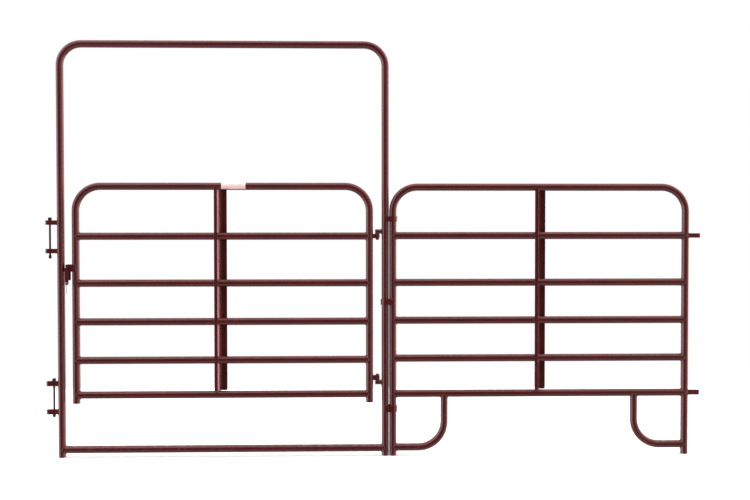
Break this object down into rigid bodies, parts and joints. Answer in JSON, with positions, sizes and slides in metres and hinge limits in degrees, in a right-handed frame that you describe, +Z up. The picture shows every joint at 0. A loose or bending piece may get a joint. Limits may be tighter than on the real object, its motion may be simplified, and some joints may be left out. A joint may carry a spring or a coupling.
{
  "type": "livestock walk-through gate",
  "caption": "Walk-through livestock gate: a tall bow frame with threshold and a railed swing gate with latch, joined to a railed fence panel on J-shaped legs.",
  "frame": {"origin": "centre of the foot of the post that carries the gate's hinges, on the ground", "axes": "+X along the gate, from the hinge post towards the fixed panel; -Y the front, which shows the grip of the latch; +Z up"},
  "size_m": [3.7153, 0.083, 2.348],
  "materials": {
    "maroon_powder_coat": "maroon powder coat, satin, over steel tube and strap",
    "dark_pin_steel": "dark oxide finish, rubbed bare where the pin slides",
    "zinc_plated_steel": "dull zinc plating",
    "pale_label": "matt vinyl sticker, left blank"
  },
  "bodies": {
    "frame_and_panel": {"frame_bow": "maroon_powder_coat", "frame_threshold": "maroon_powder_coat", "upper_lug_a": "maroon_powder_coat", "upper_lug_b": "maroon_powder_coat", "lower_lug_a": "maroon_powder_coat", "lower_lug_b": "maroon_powder_coat", "hinge_rod_upper": "maroon_powder_coat", "hinge_rod_lower": "maroon_powder_coat", "tie_upper": "maroon_powder_coat", "tie_middle": "maroon_powder_coat", "tie_lower": "maroon_powder_coat", "panel_bow": "maroon_powder_coat", "panel_rail_1": "maroon_powder_coat", "panel_rail_2": "maroon_powder_coat", "panel_rail_3": "maroon_powder_coat", "panel_rail_4": "maroon_powder_coat", "panel_rail_5": "maroon_powder_coat", "panel_brace": "maroon_powder_coat", "near_leg": "maroon_powder_coat", "far_leg": "maroon_powder_coat", "outer_lug_upper": "maroon_powder_coat", "outer_lug_lower": "maroon_powder_coat"},
    "gate": {"gate_bow": "maroon_powder_coat", "gate_rail_1": "maroon_powder_coat", "gate_rail_2": "maroon_powder_coat", "gate_rail_3": "maroon_powder_coat", "gate_rail_4": "maroon_powder_coat", "gate_rail_5": "maroon_powder_coat", "gate_brace": "maroon_powder_coat", "hinge_eye_upper": "maroon_powder_coat", "hinge_eye_lower": "maroon_powder_coat", "blank_label": "pale_label", "latch_bracket": "maroon_powder_coat"},
    "latch": {"latch_pivot": "maroon_powder_coat", "latch_arm_front": "maroon_powder_coat", "latch_arm_rear": "maroon_powder_coat", "latch_grip": "zinc_plated_steel", "latch_clip": "zinc_plated_steel"},
    "upper_drop_pin": {"upper_pin": "dark_pin_steel"},
    "lower_drop_pin": {"lower_pin": "dark_pin_steel"}
  },
  "joints": [
    {"name": "gate_swing", "type": "hinge", "parent": "frame_and_panel", "child": "gate", "pos_m": [-0.04465, 0, 0.85], "axis": [0, 0, 1], "range_deg": [-105, 105]},
    {"name": "latch_fork", "type": "hinge", "parent": "gate", "child": "latch", "pos_m": [-1.78675, 0, 1.066], "axis": [0, 1, 0], "range_deg": [0, 90]},
    {"name": "upper_pin_lift", "type": "slide", "parent": "frame_and_panel", "child": "upper_drop_pin", "axis": [0, 0, 1], "range_m": [0, 0.22]},
    {"name": "lower_pin_lift", "type": "slide", "parent": "frame_and_panel", "child": "lower_drop_pin", "axis": [0, 0, 1], "range_m": [0, 0.22]}
  ]
}
